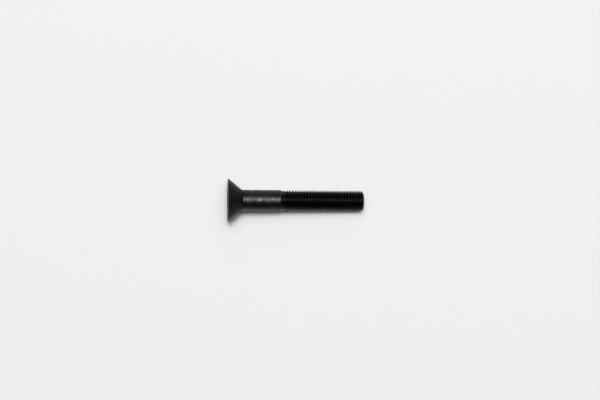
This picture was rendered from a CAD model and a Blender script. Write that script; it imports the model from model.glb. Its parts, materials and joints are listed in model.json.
"""A countersunk socket screw in black oxide steel, lying at rest on a pale floor.

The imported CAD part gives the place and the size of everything. This script builds the
screw again as one closed surface with its rolled thread, dresses it in black oxide, and
lights it with soft lamps under a camera that looks straight down.

Lengths are in metres and angles in degrees. The screw's lines are worked out in its own
axes, with x along its axis from the flat head face to the point, and are then carried to
where the CAD has it.
"""

from __future__ import annotations

import json
import logging
import math
from dataclasses import dataclass, field
from enum import Enum

import bpy
import numpy as np
from mathutils import Matrix, Vector

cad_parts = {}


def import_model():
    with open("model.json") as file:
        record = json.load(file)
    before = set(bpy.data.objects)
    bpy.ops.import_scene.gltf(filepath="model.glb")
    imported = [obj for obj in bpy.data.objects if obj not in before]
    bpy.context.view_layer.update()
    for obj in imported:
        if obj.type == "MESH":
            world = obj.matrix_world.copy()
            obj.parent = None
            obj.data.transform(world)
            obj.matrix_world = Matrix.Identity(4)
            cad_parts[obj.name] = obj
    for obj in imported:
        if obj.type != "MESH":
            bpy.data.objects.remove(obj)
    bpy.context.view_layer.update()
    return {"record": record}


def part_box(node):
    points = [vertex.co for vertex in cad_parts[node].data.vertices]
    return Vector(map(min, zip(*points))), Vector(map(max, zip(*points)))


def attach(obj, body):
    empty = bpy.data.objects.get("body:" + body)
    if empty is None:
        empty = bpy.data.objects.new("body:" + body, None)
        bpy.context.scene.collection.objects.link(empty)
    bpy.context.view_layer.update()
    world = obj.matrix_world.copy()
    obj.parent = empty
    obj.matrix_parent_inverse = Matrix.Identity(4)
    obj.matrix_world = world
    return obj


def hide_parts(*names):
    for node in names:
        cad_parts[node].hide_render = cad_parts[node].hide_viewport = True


LOG = logging.getLogger("countersunk_socket_screw")
MM = 0.001
INCH = 0.0254
FULL_TURN = 2 * math.pi
SIXTH_TURN = FULL_TURN / 6
SMALLEST_STEP = 1e-12
NOISE_SPAN = (0.3, 0.7)  # what a noise pattern keeps within, nearly everywhere
BODY = "root"
CAD_NODE = "screw"
PIECE = "socket_screw"
MOUTH_MOUNT = "hex_socket"
BOX_TOLERANCE = 0.02 * MM


class Hand(Enum):
    """Which way a thread winds as it runs away from the head."""

    RIGHT = 1
    LEFT = -1


class Stretch(Enum):
    """The stretches of the screw that differ in finish, by their material's place in the mesh."""

    FACE = 0
    CONE = 1
    SHANK = 2
    THREAD = 3


@dataclass(frozen=True)
class ScrewAxes:
    """The screw's own axes in the row frame: the middle of its flat face, and how it lies."""

    origin: Vector
    along: Vector
    across: Vector
    up: Vector

    @classmethod
    def from_record(cls, record: dict) -> ScrewAxes:
        """Reads the axes off the mount at the socket's mouth.

        Args:
            record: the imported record, whose mounts have a place and an outward axis.

        Returns:
            The axes, with along pointing from the head to the point, and across level.
        """
        mount = next(m for m in record["mounts"] if m["name"] == MOUTH_MOUNT)
        along = -Vector(mount["axis"]).normalized()
        across = Vector((0, 0, 1)).cross(along).normalized()
        return cls(Vector(mount["pos_m"]), along, across, along.cross(across))

    def carried(self, own: np.ndarray) -> np.ndarray:
        """Carries points from the screw's own axes to the row frame.

        Args:
            own: points as rows of x, y, z in the screw's own axes.

        Returns:
            origin + x along + y across + z up, for every row.
        """
        return np.array(self.origin) + own @ np.array([self.along, self.across, self.up])

    def mapping(self, scale: float) -> tuple[Vector, Vector]:
        """Gives the Mapping node settings that turn Object coordinates into the screw's own.

        Args:
            scale: how many pattern units one metre is.

        Returns:
            The location and the rotation of scale * R (p - origin), where R's rows are the axes.
        """
        turn = Matrix((self.along, self.across, self.up))
        return -(turn @ self.origin) * scale, Vector(turn.to_euler("XYZ"))


@dataclass
class Corner:
    """One corner of a lengthwise outline, at every column round the screw.

    The outline leaves the straight line at reach before the corner, turns softly, and joins
    the next line at reach after it. The rows on the way to it are at most spacing apart.
    """

    along: np.ndarray
    radius: np.ndarray
    spacing: float
    reach: float = 0.0

    @property
    def place(self) -> np.ndarray:
        """The place along the axis and the radius, stacked."""
        return np.stack([self.along, self.radius])


def unit(step: np.ndarray) -> np.ndarray:
    """Gives a step its length of one, column by column, and leaves a step of nothing at nothing."""
    return step / np.maximum(np.hypot(step[0], step[1]), SMALLEST_STEP)


def straight(start: np.ndarray, end: np.ndarray, spacing: float) -> np.ndarray:
    """Fills a straight stretch of an outline with rows, start + t (end - start).

    Args:
        start: the place that the stretch leaves, by column.
        end: the place that it arrives at, by column.
        spacing: the longest step between two rows.

    Returns:
        The rows after start, up to end itself.
    """
    longest = float(np.hypot(*(end - start)).max())
    steps = max(1, math.ceil(longest / spacing))
    t = (np.arange(1, steps + 1) / steps)[:, None, None]
    return start + t * (end - start)


def soft_turn(start: np.ndarray, corner: np.ndarray, end: np.ndarray, steps: int) -> np.ndarray:
    """Rounds one corner with (1 - t)^2 start + 2 t (1 - t) corner + t^2 end.

    Args:
        start: the place where the curve leaves the first line, by column.
        corner: the place of the sharp corner.
        end: the place where the curve joins the second line.
        steps: how many rows the curve has.

    Returns:
        The rows after start, up to end itself.
    """
    t = (np.arange(1, steps + 1) / steps)[:, None, None]
    return (1 - t) ** 2 * start + 2 * t * (1 - t) * corner + t**2 * end


def carried_outline(corners: list[Corner], turn_steps: int = 5) -> np.ndarray:
    """Carries an outline through its corners, straight between them and soft at each.

    Args:
        corners: the corners in order, with the two ends of the outline first and last.
        turn_steps: rows on each soft corner.

    Returns:
        The rows: [row, 0, column] is the place along the axis and [row, 1, column] the radius.
    """
    here = corners[0].place
    rows = [here[None]]
    for before, corner, after in zip(corners, corners[1:], corners[2:]):
        leave = corner.place + corner.reach * unit(before.place - corner.place)
        join = corner.place + corner.reach * unit(after.place - corner.place)
        rows.append(straight(here, leave, corner.spacing))
        if corner.reach > 0:
            rows.append(soft_turn(leave, corner.place, join, turn_steps))
        here = join
    rows.append(straight(here, corners[-1].place, corners[-1].spacing))
    return np.concatenate(rows)


def cone_depth(radius_change: np.ndarray | float, full_angle: float) -> np.ndarray | float:
    """Gives the length of a cone over a change of radius, change / tan(full_angle / 2)."""
    return radius_change / math.tan(math.radians(full_angle / 2))


def tangent_length(radius: float, turn: float) -> float:
    """Gives how far before a corner an arc of this radius leaves the line, radius tan(turn / 2)."""
    return radius * math.tan(math.radians(turn / 2))


@dataclass(frozen=True)
class Dent:
    """A shallow dent that forging or handling left in a turned surface.

    Around is in degrees from the screw's across axis, so that 90 is its upper side. Lean is
    how far the dent's long side turns away from the axis, towards a larger angle round it.
    """

    along: float
    around: float
    length: float
    width: float
    depth: float
    lean: float


@dataclass(frozen=True)
class Ripple:
    """A slanting wave that the forging dies left in a turned surface.

    Wavelength is measured along the axis. Around is the whole number of waves round the axis,
    negative where the crests climb towards larger angles as they go along.
    """

    wavelength: float
    around: int
    depth: float
    start: float

    def inset(self, along: np.ndarray, theta: np.ndarray) -> np.ndarray:
        """Works out depth (1 + cos(360 ((along - start) / wavelength + around theta / 360))) / 2."""
        turns = (along - self.start) / self.wavelength + self.around * theta / FULL_TURN
        return self.depth * (1 + np.cos(FULL_TURN * turns)) / 2


@dataclass
class Unevenness:
    """How far a turned surface lies inside its true size, from its dents and ripples.

    Dent depth and dent size are the most that a dent may have. Each dent has a share of them,
    drawn between the two of dent shares, and a lean drawn between the two of dent leans.
    """

    start: float
    end: float
    radius: float
    dent_count: int
    dent_depth: float
    dent_size: float
    seed: int
    ripples: tuple[Ripple, ...] = ()
    dent_shares: tuple[float, float] = (0.35, 1.0)
    dent_leans: tuple[float, float] = (-60.0, 60.0)
    fade: float = 0.4 * MM

    def dents(self) -> list[Dent]:
        """Scatters the dents over the surface.

        Returns:
            The dents, which are the same on every run.
        """
        draw = np.random.default_rng(self.seed)
        places = draw.uniform(self.start, self.end, self.dent_count)
        angles = draw.uniform(0, 360, self.dent_count)
        shares = draw.uniform(*self.dent_shares, (self.dent_count, 3))
        leans = draw.uniform(*self.dent_leans, self.dent_count)
        return [
            Dent(
                along=place,
                around=angle,
                length=self.dent_size * share[0],
                width=self.dent_size * share[1],
                depth=self.dent_depth * share[2],
                lean=lean,
            )
            for place, angle, share, lean in zip(places, angles, shares, leans)
        ]

    def depth(self, along: np.ndarray, theta: np.ndarray) -> np.ndarray:
        """Sums the ripples and the dents, each depth * exp(-(u / length)^2 - (v / width)^2).

        Here u and v are the distances from the dent's middle, turned by its lean, with an
        angle round the axis counted as radius * angle.

        Args:
            along: the place along the axis of every point of the grid.
            theta: the angle of every column.

        Returns:
            How far inside its true radius each point lies, with nothing beyond the two ends.
        """
        total = np.zeros_like(along)
        for dent in self.dents():
            angle = (theta - math.radians(dent.around) + math.pi) % FULL_TURN - math.pi
            x, y = along - dent.along, self.radius * angle
            c, s = math.cos(math.radians(dent.lean)), math.sin(math.radians(dent.lean))
            u, v = (c * x + s * y) / dent.length, (c * y - s * x) / dent.width
            total += dent.depth * np.exp(-(u**2) - v**2)
        for ripple in self.ripples:
            total += ripple.inset(along, theta)
        return total * np.clip(np.minimum(along - self.start, self.end - along) / self.fade, 0, 1)


@dataclass
class HexSocket:
    """The hexagon socket: its chamfered mouth, six walls and pointed bottom."""

    across_flats: float = 4.8 * MM
    wall_depth: float = 3.5 * MM
    point_angle: float = 120.0
    lead_width: float = 0.3 * MM
    lead_angle: float = 90.0
    turn: float = 12.0
    corner_radius: float = 0.15 * MM
    mouth_reach: float = 0.12 * MM
    edge_reach: float = 0.06 * MM
    spacing: float = 0.35 * MM

    @property
    def corner_distance(self) -> float:
        """The sharp corners' distance from the axis."""
        return self.across_flats / 2 / math.cos(SIXTH_TURN / 2)

    @property
    def mouth_radius(self) -> float:
        """The radius of the chamfer where it meets the flat face."""
        return self.corner_distance + self.lead_width

    def wall_radius(self, theta: np.ndarray) -> np.ndarray:
        """Works out the hexagon's distance from the axis, with its corners rounded.

        A flat is half the width over cos(angle from its middle). At a corner it is the far
        side of a small circle on the corner's line, c cos(a) + sqrt(r^2 - (c sin(a))^2).

        Args:
            theta: the angle of every column.

        Returns:
            The distance from the axis to the wall at every column.
        """
        half = SIXTH_TURN / 2
        from_corner = (theta - math.radians(self.turn) + half) % SIXTH_TURN - half
        flat = self.across_flats / 2 / np.cos(half - np.abs(from_corner))
        centre = (self.across_flats / 2 - self.corner_radius) / math.cos(half)
        aside = centre * np.abs(np.sin(from_corner))
        arc = centre * np.cos(from_corner) + np.sqrt(np.maximum(self.corner_radius**2 - aside**2, 0))
        return np.where(aside < self.corner_radius / 2, arc, flat)

    def corners(self, theta: np.ndarray) -> list[Corner]:
        """Lists the socket's outline from its deepest point to its mouth.

        Args:
            theta: the angle of every column.

        Returns:
            The corners: deepest point, foot of the wall, top of the wall and mouth.
        """
        still = np.zeros_like(theta)
        wall = self.wall_radius(theta)
        deepest = self.wall_depth + cone_depth(self.corner_distance, self.point_angle)
        foot = deepest - cone_depth(wall, self.point_angle)
        top = cone_depth(self.mouth_radius - wall, self.lead_angle)
        return [
            Corner(still + deepest, still, self.spacing),
            Corner(foot, wall, self.spacing, self.edge_reach),
            Corner(top, wall, self.spacing, self.edge_reach),
            Corner(still, still + self.mouth_radius, self.spacing, self.mouth_reach),
        ]


@dataclass
class CountersunkHead:
    """The flat face, the rim and the cone under the head."""

    diameter: float = 15.9 * MM
    cone_angle: float = 80.0
    rim_land: float = 0.2 * MM
    rim_radius: float = 0.08 * MM
    fillet_radius: float = 1.0 * MM
    face_spacing: float = 0.4 * MM
    cone_spacing: float = 0.2 * MM
    dent_count: int = 70
    dent_depth: float = 0.016 * MM
    dent_size: float = 1.1 * MM
    dent_seed: int = 11

    def cone_end(self, shank_radius: float) -> float:
        """Gives where the cone would meet the shank, measured from the flat face."""
        return self.rim_land + cone_depth(self.diameter / 2 - shank_radius, self.cone_angle)

    @property
    def fillet_reach(self) -> float:
        """How far before and after the foot of the cone its fillet reaches."""
        return tangent_length(self.fillet_radius, self.cone_angle / 2)

    def corners(self, theta: np.ndarray, shank_radius: float) -> list[Corner]:
        """Lists the head's outline from the edge of its face to where its cone meets the shank.

        Args:
            theta: the angle of every column.
            shank_radius: the radius of the shank under the head.

        Returns:
            The corners: edge of the face, end of the rim and foot of the cone.
        """
        still = np.zeros_like(theta)
        rim = still + self.diameter / 2
        foot = still + self.cone_end(shank_radius)
        return [
            Corner(still, rim, self.face_spacing, self.rim_radius),
            Corner(still + self.rim_land, rim, self.cone_spacing, self.rim_radius / 2),
            Corner(foot, still + shank_radius, self.cone_spacing, self.fillet_reach),
        ]

    def unevenness(self, shank_radius: float) -> Unevenness:
        """Gives the dents of the forged cone, which leave its rim and its fillet true."""
        return Unevenness(
            start=self.rim_land,
            end=self.cone_end(shank_radius),
            radius=(self.diameter / 2 + shank_radius) / 2,
            dent_count=self.dent_count,
            dent_depth=self.dent_depth,
            dent_size=self.dent_size,
            seed=self.dent_seed,
        )


@dataclass
class PlainShank:
    """The plain shank between the head and the thread."""

    diameter: float = 7.85 * MM
    grip_length: float = 19.2 * MM
    shoulder_reach: float = 0.12 * MM
    spacing: float = 0.16 * MM
    dent_count: int = 60
    dent_depth: float = 0.008 * MM
    dent_size: float = 1.0 * MM
    dent_seed: int = 3
    ripples: tuple[Ripple, ...] = (
        Ripple(wavelength=4.0 * MM, around=2, depth=0.05 * MM, start=8.4 * MM),
        Ripple(wavelength=3.2 * MM, around=7, depth=0.022 * MM, start=6.5 * MM),
        Ripple(wavelength=2.5 * MM, around=-10, depth=0.007 * MM, start=7.8 * MM),
        Ripple(wavelength=1.5 * MM, around=13, depth=0.016 * MM, start=7.2 * MM),
        Ripple(wavelength=1.0 * MM, around=6, depth=0.011 * MM, start=6.1 * MM),
    )

    def corners(self, theta: np.ndarray) -> list[Corner]:
        """Gives the shank's only corner, the shoulder where its grip ends."""
        still = np.zeros_like(theta)
        return [
            Corner(still + self.grip_length, still + self.diameter / 2, self.spacing, self.shoulder_reach)
        ]

    def unevenness(self, start: float) -> Unevenness:
        """Gives the dents and ripples of the shank from a place along it to its shoulder."""
        return Unevenness(
            start=start,
            end=self.grip_length - self.shoulder_reach,
            radius=self.diameter / 2,
            dent_count=self.dent_count,
            dent_depth=self.dent_depth,
            dent_size=self.dent_size,
            seed=self.dent_seed,
            ripples=self.ripples,
        )


@dataclass
class RolledThread:
    """The rolled thread, from its run-out at the shank to the chamfered point.

    Its profile has 60 degree flanks, flat crests and eased roots. Over the run-out its
    crests rise from the bare blank as its roots sink into it. Crest flat, depth, blank drop
    and half rows are in pitches. Half rows are the places of the rows from the middle of a
    crest to the middle of a root.
    """

    diameter: float = 7.8 * MM
    pitch: float = INCH / 24
    crest_flat: float = 1 / 8
    depth: float = 0.6134
    blank_drop: float = 0.6495
    flank_lean: float = 30.0
    runout_turns: float = 1.8
    runout_angle: float = 30.0
    first_crest: float = 0.453 * MM
    spare_turns: int = 2
    hand: Hand = Hand.RIGHT
    half_rows: tuple[float, ...] = (0.0, 0.045, 0.08, 0.16, 0.25, 0.34, 0.41, 0.455, 0.5)

    @property
    def blank_radius(self) -> float:
        """The radius of the blank that the thread is rolled on."""
        return (self.diameter - self.blank_drop * self.pitch) / 2

    @property
    def turn_rows(self) -> np.ndarray:
        """The places of the rows over one pitch, in pitches from the middle of a crest."""
        half = np.array(self.half_rows)
        return np.concatenate([half, 1 - half[-2:0:-1]])

    def formed_depth(self, phase: np.ndarray) -> np.ndarray:
        """Works out the depth below the crests, in pitches.

        It is nothing on the crest's flat, then (distance from the flat) / tan(flank's lean),
        and near the root it is eased by a parabola that is level in the root's middle.

        Args:
            phase: the distance along the axis from the middle of a crest, in pitches.

        Returns:
            The depth at each phase.
        """
        away = np.abs((phase + 0.5) % 1.0 - 0.5)
        steep = 1 / math.tan(math.radians(self.flank_lean))
        foot = self.crest_flat / 2 + self.depth / steep
        ease = 2 * (0.5 - foot)
        t = np.clip((away - (0.5 - ease)) / ease, 0, 1)
        flank = np.clip(away - self.crest_flat / 2, 0, 0.5 - ease - self.crest_flat / 2) * steep
        return flank + steep * ease * (t - t**2 / 2)

    def radius(self, along: np.ndarray, phase: np.ndarray, start: float, full: float) -> np.ndarray:
        """Works out the surface's radius, blank + formed (crest - depth - blank).

        Formed goes from 0 at start to 1 at full as 3 t^2 - 2 t^3.

        Args:
            along: the place along the axis of every point.
            phase: the distance from the middle of a crest, in pitches.
            start: where the bare blank ends.
            full: where the thread has its full depth.

        Returns:
            The radius at every point.
        """
        t = np.clip((along - start) / (full - start), 0, 1)
        finished = self.diameter / 2 - self.pitch * self.formed_depth(phase)
        return self.blank_radius + (3 * t**2 - 2 * t**3) * (finished - self.blank_radius)


@dataclass
class ChamferedPoint:
    """The end of the screw: a chamfer down to a flat sheared end."""

    screw_length: float = 49.8 * MM
    diameter: float = 6.2 * MM
    angle: float = 45.0
    last_ring: float = 0.1 * MM
    edge_reach: float = 0.06 * MM
    spacing: float = 0.35 * MM

    @property
    def ring_place(self) -> float:
        """Where the thread hands over to the whole rings of the chamfer."""
        return self.screw_length - self.last_ring

    def limit(self, along: np.ndarray | float) -> np.ndarray | float:
        """Gives the chamfer's radius at a place along the axis."""
        return self.diameter / 2 + (self.screw_length - along) * math.tan(math.radians(self.angle))

    def corners(self, theta: np.ndarray) -> list[Corner]:
        """Lists the outline from the last ring of the chamfer to the middle of the end."""
        still = np.zeros_like(theta)
        return [
            Corner(still + self.ring_place, still + self.limit(self.ring_place), self.spacing),
            Corner(still + self.screw_length, still + self.diameter / 2, self.spacing, self.edge_reach),
            Corner(still + self.screw_length, still, self.spacing),
        ]


@dataclass
class SurfaceGrid:
    """Rows of points round an axis, joined into triangles as they are added."""

    theta: np.ndarray
    points: list[np.ndarray] = field(default_factory=list)
    triangles: list[np.ndarray] = field(default_factory=list)
    count: int = 0

    def add_points(self, along: np.ndarray, radius: np.ndarray) -> np.ndarray:
        """Adds the points (x, r cos(theta), r sin(theta)).

        Args:
            along: the place along the axis, by row and column.
            radius: the distance from the axis, by row and column.

        Returns:
            The numbers of the new points, by row and column.
        """
        places = np.stack([along, radius * np.cos(self.theta), radius * np.sin(self.theta)], axis=-1)
        self.points.append(places.reshape(-1, 3))
        numbers = self.count + np.arange(along.size).reshape(along.shape)
        self.count += along.size
        return numbers

    def add_rings(self, rows: np.ndarray) -> np.ndarray:
        """Adds whole rings, where a ring with no radius is one point.

        Args:
            rows: the place along the axis and the radius, as carried_outline gives them.

        Returns:
            The numbers of the points, by ring and column.
        """
        numbers = self.add_points(rows[:, 0], rows[:, 1])
        poles = rows[:, 1].max(axis=1) <= 0
        numbers[poles] = numbers[poles][:, :1]
        return numbers

    def join(self, numbers: np.ndarray, seam_shift: int = 0) -> None:
        """Joins neighbouring rows into two triangles a cell, leaving out those with no area.

        Args:
            numbers: the points' numbers, by row and column.
            seam_shift: how many rows further on the last column meets the first one.
        """
        last = len(numbers) - 1
        shifted = np.clip(np.arange(len(numbers)) + seam_shift, 0, last)
        closed = np.concatenate([numbers, numbers[shifted, :1]], axis=1)
        a, b, c, d = closed[:-1, :-1], closed[:-1, 1:], closed[1:, 1:], closed[1:, :-1]
        cells = np.concatenate([np.stack([a, b, c], axis=-1), np.stack([a, c, d], axis=-1)]).reshape(-1, 3)
        ahead = np.roll(cells, -1, axis=1)
        self.triangles.append(cells[(cells != ahead).all(axis=1)])

    def used(self) -> tuple[np.ndarray, np.ndarray]:
        """Drops the points that no triangle uses.

        Returns:
            The points, and the triangles renumbered to match.
        """
        points, triangles = np.concatenate(self.points), np.concatenate(self.triangles)
        kept, renumbered = np.unique(triangles, return_inverse=True)
        return points[kept], renumbered.reshape(-1, 3)


@dataclass
class SocketScrew:
    """The whole screw, one cold-headed piece of steel."""

    socket: HexSocket = field(default_factory=HexSocket)
    head: CountersunkHead = field(default_factory=CountersunkHead)
    shank: PlainShank = field(default_factory=PlainShank)
    thread: RolledThread = field(default_factory=RolledThread)
    point: ChamferedPoint = field(default_factory=ChamferedPoint)
    columns: int = 120

    @property
    def theta(self) -> np.ndarray:
        """The angle of every column, from the screw's across axis towards its up axis."""
        return np.arange(self.columns) * FULL_TURN / self.columns

    @property
    def blank_start(self) -> float:
        """Where the shank's end has come down to the bare blank, measured from the flat face."""
        drop = self.shank.diameter / 2 - self.thread.blank_radius
        return self.shank.grip_length + drop / math.tan(math.radians(self.thread.runout_angle))

    @property
    def full_thread_start(self) -> float:
        """Where the thread has its full depth, measured from the flat face."""
        return self.shank.grip_length + self.thread.runout_turns * self.thread.pitch

    def stretches(self, points: np.ndarray, triangles: np.ndarray) -> np.ndarray:
        """Tells which stretch each triangle belongs to, by the place of its middle.

        The face, with its socket, is what lies by the flat plane or nearer the axis than the
        socket's mouth. The shank starts where the fillet under the head ends.

        Args:
            points: the surface's points, in the screw's own axes.
            triangles: the points' numbers, by triangle.

        Returns:
            The value of the triangle's stretch, for every triangle.
        """
        along, *aside = points[triangles].mean(axis=1).T
        face = (along < self.head.rim_radius) | (np.hypot(*aside) < self.socket.mouth_radius)
        fillet_end = self.head.cone_end(self.shank.diameter / 2) + self.head.fillet_reach
        values = np.where(face, Stretch.FACE.value, Stretch.CONE.value)
        values[along > fillet_end] = Stretch.SHANK.value
        values[along > self.shank.grip_length] = Stretch.THREAD.value
        return values

    def turned_rows(self) -> np.ndarray:
        """Works out the rows from the socket's deepest point to the bare blank.

        Returns:
            The rows of the outline, with the dents of the cone and of the shank in them.
        """
        theta = self.theta
        shank_radius = self.shank.diameter / 2
        still = np.zeros_like(theta)
        blank = Corner(still + self.blank_start, still + self.thread.blank_radius, self.shank.spacing)
        rows = carried_outline(
            [
                *self.socket.corners(theta),
                *self.head.corners(theta, shank_radius),
                *self.shank.corners(theta),
                blank,
            ]
        )
        outside = rows[:, 1].min(axis=1) >= shank_radius
        for surface in (
            self.head.unevenness(shank_radius),
            self.shank.unevenness(self.head.cone_end(shank_radius)),
        ):
            rows[outside, 1] -= surface.depth(rows[outside, 0], theta)
        return rows

    def thread_numbers(self, grid: SurfaceGrid, first: np.ndarray, last: np.ndarray) -> np.ndarray:
        """Adds the thread's points, on rows that follow its helix.

        Row w lies at along = pitch (w + hand * theta / 360), held between the blank's ring
        and the point's ring. A held point is that ring's own point.

        Args:
            grid: the grid that takes the points.
            first: the numbers of the blank's ring.
            last: the numbers of the point's first ring.

        Returns:
            The numbers of the thread's points, by row and column.
        """
        pitch, start, end = self.thread.pitch, self.blank_start, self.point.ring_place
        spare = self.thread.spare_turns
        turns = np.arange(math.floor(start / pitch) - spare, math.ceil(end / pitch) + spare)
        rows = (turns[:, None] + self.thread.turn_rows).reshape(-1, 1)
        winding = self.thread.hand.value * self.theta / FULL_TURN
        helix = self.thread.first_crest + pitch * (rows + winding)
        along = np.clip(helix, start, end)
        radius = self.thread.radius(along, rows, start, self.full_thread_start)
        numbers = grid.add_points(along, np.minimum(radius, self.point.limit(along)))
        numbers = np.where(helix <= start, first, numbers)
        return np.where(helix >= end, last, numbers)

    def surface(self) -> tuple[np.ndarray, np.ndarray]:
        """Works out the whole closed surface.

        Returns:
            The points in the screw's own axes, and the triangles, which face outwards.
        """
        grid = SurfaceGrid(self.theta)
        turned = grid.add_rings(self.turned_rows())
        tip = grid.add_rings(carried_outline(self.point.corners(self.theta)))
        thread = self.thread_numbers(grid, turned[-1], tip[0])
        grid.join(turned)
        grid.join(thread, self.thread.hand.value * len(self.thread.turn_rows))
        grid.join(tip)
        return grid.used()

    def build(self, axes: ScrewAxes, finishes: dict[Stretch, BlackOxide]) -> bpy.types.Object:
        """Makes the screw's mesh where the CAD part lies, and dresses it.

        Args:
            axes: the screw's own axes in the row frame.
            finishes: the finish of each stretch of the screw.

        Returns:
            The object, which stands at the origin with its place in its mesh.
        """
        points, triangles = self.surface()
        mesh = bpy.data.meshes.new(PIECE)
        mesh.from_pydata(axes.carried(points).tolist(), [], triangles.tolist())
        for stretch in Stretch:
            mesh.materials.append(finishes[stretch].material(axes))
        mesh.polygons.foreach_set("material_index", self.stretches(points, triangles))
        mesh.polygons.foreach_set("use_smooth", np.ones(len(triangles), bool))
        mesh.update()
        piece = bpy.data.objects.new(PIECE, mesh)
        bpy.context.scene.collection.objects.link(piece)
        return piece


class NodeTree:
    """A short way to lay out the nodes of one material or world."""

    def __init__(self, tree: bpy.types.NodeTree) -> None:
        """Takes an empty tree to fill."""
        self.tree = tree

    def add(self, kind: str, inputs: dict | None = None, **settings: object) -> bpy.types.Node:
        """Adds a node.

        Args:
            kind: Blender's name for the node's type.
            inputs: a value, or another node's output, for each named or numbered input.
            settings: the node's own properties.

        Returns:
            The new node.
        """
        node = self.tree.nodes.new(kind)
        for name, value in settings.items():
            setattr(node, name, value)
        for socket, value in (inputs or {}).items():
            if isinstance(value, bpy.types.NodeSocket):
                self.tree.links.new(value, node.inputs[socket])
            else:
                node.inputs[socket].default_value = value
        return node

    def noise(
        self, vector: bpy.types.NodeSocket, scale: float, detail: float = 3.0
    ) -> bpy.types.NodeSocket:
        """Adds a noise pattern and gives its grey value, about 0.5 on average."""
        inputs = {"Vector": vector, "Scale": scale, "Detail": detail}
        return self.add("ShaderNodeTexNoise", inputs).outputs[0]

    def ranged(
        self, value: bpy.types.NodeSocket, source: tuple[float, float], target: tuple[float, float]
    ) -> bpy.types.NodeSocket:
        """Carries a value smoothly from one range to another.

        Args:
            value: the value to carry.
            source: the range it is read over, beyond which it is held.
            target: the range it is given.

        Returns:
            The carried value.
        """
        inputs = {"Value": value, 1: source[0], 2: source[1], 3: target[0], 4: target[1]}
        node = self.add("ShaderNodeMapRange", inputs, interpolation_type="SMOOTHSTEP")
        return node.outputs[0]

    def larger(self, first: bpy.types.NodeSocket, second: bpy.types.NodeSocket) -> bpy.types.NodeSocket:
        """Gives the larger of two values."""
        return self.add("ShaderNodeMath", {0: first, 1: second}, operation="MAXIMUM").outputs[0]

    def grey(self, value: bpy.types.NodeSocket) -> bpy.types.NodeSocket:
        """Makes a grey of one value."""
        return self.add("ShaderNodeCombineColor", {0: value, 1: value, 2: value}).outputs[0]


@dataclass(frozen=True)
class BlackOxide:
    """A satin black oxide finish, whose roughness and grey are uneven in soft clouds.

    Roughness and cloud share are what the clouds go between, and cloud share is in shares of
    the grey. The scales of the clouds and of the grain are how many of them lie on a millimetre.
    """

    name: str
    grey: float
    roughness: tuple[float, float]
    specular_level: float
    cloud_share: tuple[float, float] = (0.6, 1.5)
    cloud_scale: float = 0.55
    grain_scale: float = 7.0
    grain_height: float = 0.004 * MM

    def material(self, axes: ScrewAxes) -> bpy.types.Material:
        """Makes the material.

        Args:
            axes: the screw's own axes, which centre and turn its patterns.

        Returns:
            The material.
        """
        material = bpy.data.materials.new(self.name)
        material.use_nodes = True
        nodes = NodeTree(material.node_tree)
        shader = material.node_tree.nodes["Principled BSDF"]
        shader.inputs["Specular IOR Level"].default_value = self.specular_level
        own = self.own_millimetres(nodes, axes)
        clouds = nodes.noise(own, self.cloud_scale)
        links = material.node_tree.links
        links.new(self.colour(nodes, clouds), shader.inputs["Base Color"])
        links.new(nodes.ranged(clouds, NOISE_SPAN, self.roughness), shader.inputs["Roughness"])
        links.new(self.grain(nodes, own), shader.inputs["Normal"])
        return material

    def own_millimetres(self, nodes: NodeTree, axes: ScrewAxes) -> bpy.types.NodeSocket:
        """Gives the place on the surface in the screw's own axes, in millimetres."""
        per_metre = 1 / MM
        location, rotation = axes.mapping(per_metre)
        place = nodes.add("ShaderNodeTexCoord").outputs["Object"]
        inputs = {"Vector": place, "Location": location, "Rotation": rotation, "Scale": (per_metre,) * 3}
        return nodes.add("ShaderNodeMapping", inputs).outputs[0]

    def colour(self, nodes: NodeTree, clouds: bpy.types.NodeSocket) -> bpy.types.NodeSocket:
        """Gives the oxide's grey, uneven in soft clouds."""
        low, high = self.cloud_share
        return nodes.grey(nodes.ranged(clouds, NOISE_SPAN, (self.grey * low, self.grey * high)))

    def grain(self, nodes: NodeTree, own: bpy.types.NodeSocket) -> bpy.types.NodeSocket:
        """Gives the normal of the oxide's fine grain."""
        height = nodes.noise(own, self.grain_scale)
        return nodes.add("ShaderNodeBump", {"Height": height, "Distance": self.grain_height}).outputs[0]


FINISHES = {
    Stretch.FACE: BlackOxide(
        "face_black_oxide", grey=0.005, roughness=(0.4, 0.6), specular_level=0.12, cloud_share=(0.3, 2.0)
    ),
    Stretch.CONE: BlackOxide("dull_black_oxide", grey=0.002, roughness=(0.27, 0.4), specular_level=0.1),
    Stretch.SHANK: BlackOxide("oiled_black_oxide", grey=0.0015, roughness=(0.3, 0.47), specular_level=0.36),
    Stretch.THREAD: BlackOxide(
        "rolled_black_oxide", grey=0.0005, roughness=(0.16, 0.42), specular_level=0.19, cloud_scale=1.8
    ),
}


@dataclass(frozen=True)
class SoftLamp:
    """A soft lamp, placed by how far its middle leans from straight up.

    Its leans, and its half width and half depth as seen from the screw, are in degrees.
    """

    name: str
    lean_right: float
    lean_back: float
    half_width: float
    half_depth: float
    light: float
    distance: float = 3.0

    def hang(self) -> bpy.types.Object:
        """Hangs the lamp, facing the screw.

        Returns:
            The lamp's object. Its power makes a white floor facing it as bright as light says.
        """
        spread = [2 * self.distance * math.tan(math.radians(a)) for a in (self.half_width, self.half_depth)]
        data = bpy.data.lights.new(self.name, "AREA")
        data.shape = "RECTANGLE"
        data.size, data.size_y = spread
        data.energy = self.light * math.pi**2 * self.distance**2
        lamp = bpy.data.objects.new(self.name, data)
        aim = Vector((math.tan(math.radians(self.lean_right)), math.tan(math.radians(self.lean_back)), 1))
        lamp.location = aim.normalized() * self.distance
        lamp.rotation_euler = aim.to_track_quat("Z", "Y").to_euler()
        bpy.context.scene.collection.objects.link(lamp)
        return lamp


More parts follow.
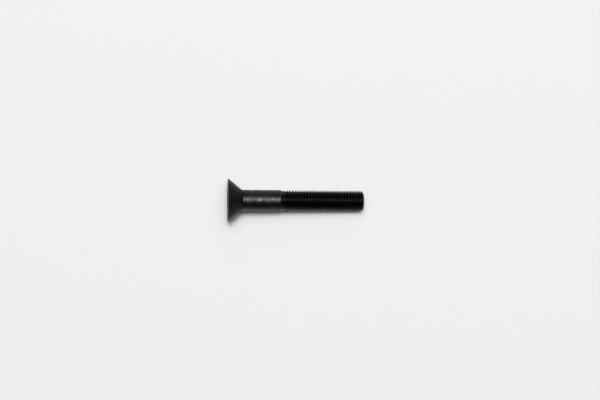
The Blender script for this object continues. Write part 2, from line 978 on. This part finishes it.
@dataclass(frozen=True)
class OverheadCamera:
    """A camera that looks straight down at the screw.

    The picture's width is measured at its height above the floor. The camera stands aside and
    back from the middle of the screw, and is rolled by a part of a degree.
    """

    height: float = 0.58
    picture_width: float = 221.0 * MM
    picture_height_above_floor: float = 4 * MM
    sensor: float = 36.0
    aside: float = 1.78 * MM
    back: float = 0.30 * MM
    roll: float = 0.45

    def place(self) -> bpy.types.Object:
        """Places the camera and makes it the scene's own.

        Returns:
            The camera's object.
        """
        data = bpy.data.cameras.new("overhead_camera")
        data.sensor_width = self.sensor
        data.lens = self.sensor * (self.height - self.picture_height_above_floor) / self.picture_width
        camera = bpy.data.objects.new("overhead_camera", data)
        camera.location = (self.aside, self.back, self.height)
        camera.rotation_euler = (0, 0, math.radians(self.roll))
        bpy.context.scene.collection.objects.link(camera)
        bpy.context.scene.camera = camera
        return camera


@dataclass
class PaleStudio:
    """The pale floor, the lamps, the dim room and the camera.

    Wall top and wall fade are where the pale walls start to fade and where they end, in
    degrees above the horizon.
    """

    floor_half: float = 4.0
    floor_grey: float = 0.86
    floor_roughness: float = 0.9
    room_grey: float = 0.008
    wall_grey: float = 0.8
    wall_top: float = 7.5
    wall_fade: float = 10.0
    lamps: tuple[SoftLamp, ...] = (
        SoftLamp("key_lamp", lean_right=1.5, lean_back=12.0, half_width=8.2, half_depth=6.3, light=0.61),
        SoftLamp("wide_lamp", lean_right=1.5, lean_back=13.5, half_width=22.0, half_depth=18.0, light=0.47),
        SoftLamp("back_card", lean_right=2.0, lean_back=46.0, half_width=13.0, half_depth=18.0, light=0.06),
    )
    camera: OverheadCamera = OverheadCamera()

    def set_up(self) -> None:
        """Makes the floor, the lamps, the room's light and the camera."""
        floor = self.floor()
        for lamp in self.lamps:
            lamp.hang()
        self.room()
        self.camera.place()
        LOG.info("the studio has %d lamps over a floor %.0f m wide", len(self.lamps), 2 * self.floor_half)

    def floor(self) -> bpy.types.Object:
        """Makes the floor, one flat square with its middle under the screw.

        Returns:
            The floor's object.
        """
        half = self.floor_half
        mesh = bpy.data.meshes.new("floor")
        corners = [(-half, -half, 0), (half, -half, 0), (half, half, 0), (-half, half, 0)]
        mesh.from_pydata(corners, [], [(0, 1, 2, 3)])
        material = bpy.data.materials.new("pale_paper")
        material.use_nodes = True
        shader = material.node_tree.nodes["Principled BSDF"]
        shader.inputs["Base Color"].default_value = (*(self.floor_grey,) * 3, 1)
        shader.inputs["Roughness"].default_value = self.floor_roughness
        shader.inputs["Specular IOR Level"].default_value = 0.0
        mesh.materials.append(material)
        floor = bpy.data.objects.new("floor", mesh)
        bpy.context.scene.collection.objects.link(floor)
        return floor

    def room(self) -> None:
        """Fills the room with dim even light, behind pale walls that fade out as they rise.

        The walls' grey goes to the room's between two heights above the horizon, told by the
        sine of their angle. They show to the camera, in reflections and through glass alone.
        """
        world = bpy.data.worlds.new("dim_room")
        world.use_nodes = True
        nodes = NodeTree(world.node_tree)
        direction = nodes.add("ShaderNodeTexCoord").outputs["Generated"]
        height = nodes.add("ShaderNodeSeparateXYZ", {0: direction}).outputs[2]
        top, fade = (math.sin(math.radians(angle)) for angle in (self.wall_top, self.wall_fade))
        walls = nodes.ranged(height, (top, fade), (self.wall_grey, self.room_grey))
        path = nodes.add("ShaderNodeLightPath").outputs
        mirrored = nodes.larger(path["Is Glossy Ray"], path["Is Transmission Ray"])
        seen = nodes.larger(path["Is Camera Ray"], mirrored)
        shown = nodes.add("ShaderNodeMix", {0: seen, 2: self.room_grey, 3: walls}).outputs[0]
        background = world.node_tree.nodes["Background"].inputs["Color"]
        world.node_tree.links.new(nodes.grey(shown), background)
        bpy.context.scene.world = world


def check_size(piece: bpy.types.Object) -> None:
    """Stops the script where the piece reaches outside the CAD part that it stands for.

    Args:
        piece: the screw's object.
    """
    low, high = (np.array(corner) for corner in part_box(CAD_NODE))
    places = np.array([v.co for v in piece.data.vertices])
    outside = max((low - places.min(axis=0)).max(), (places.max(axis=0) - high).max())
    LOG.info("%s reaches %.4f mm outside its CAD part", piece.name, outside / MM)
    if outside > BOX_TOLERANCE:
        raise ValueError(f"{piece.name} reaches {outside / MM:.3f} mm outside its CAD part")


def main() -> None:
    """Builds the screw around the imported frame, dresses it and sets up the studio."""
    logging.basicConfig(level=logging.INFO, format="%(name)s: %(message)s")
    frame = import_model()
    bpy.context.scene.view_settings.view_transform = "Standard"
    axes = ScrewAxes.from_record(frame["record"])
    screw = SocketScrew()
    piece = screw.build(axes, FINISHES)
    check_size(piece)
    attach(piece, BODY)
    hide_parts(CAD_NODE)
    LOG.info("%s has %d triangles", piece.name, len(piece.data.polygons))
    PaleStudio().set_up()


if __name__ == "__main__":
    main()
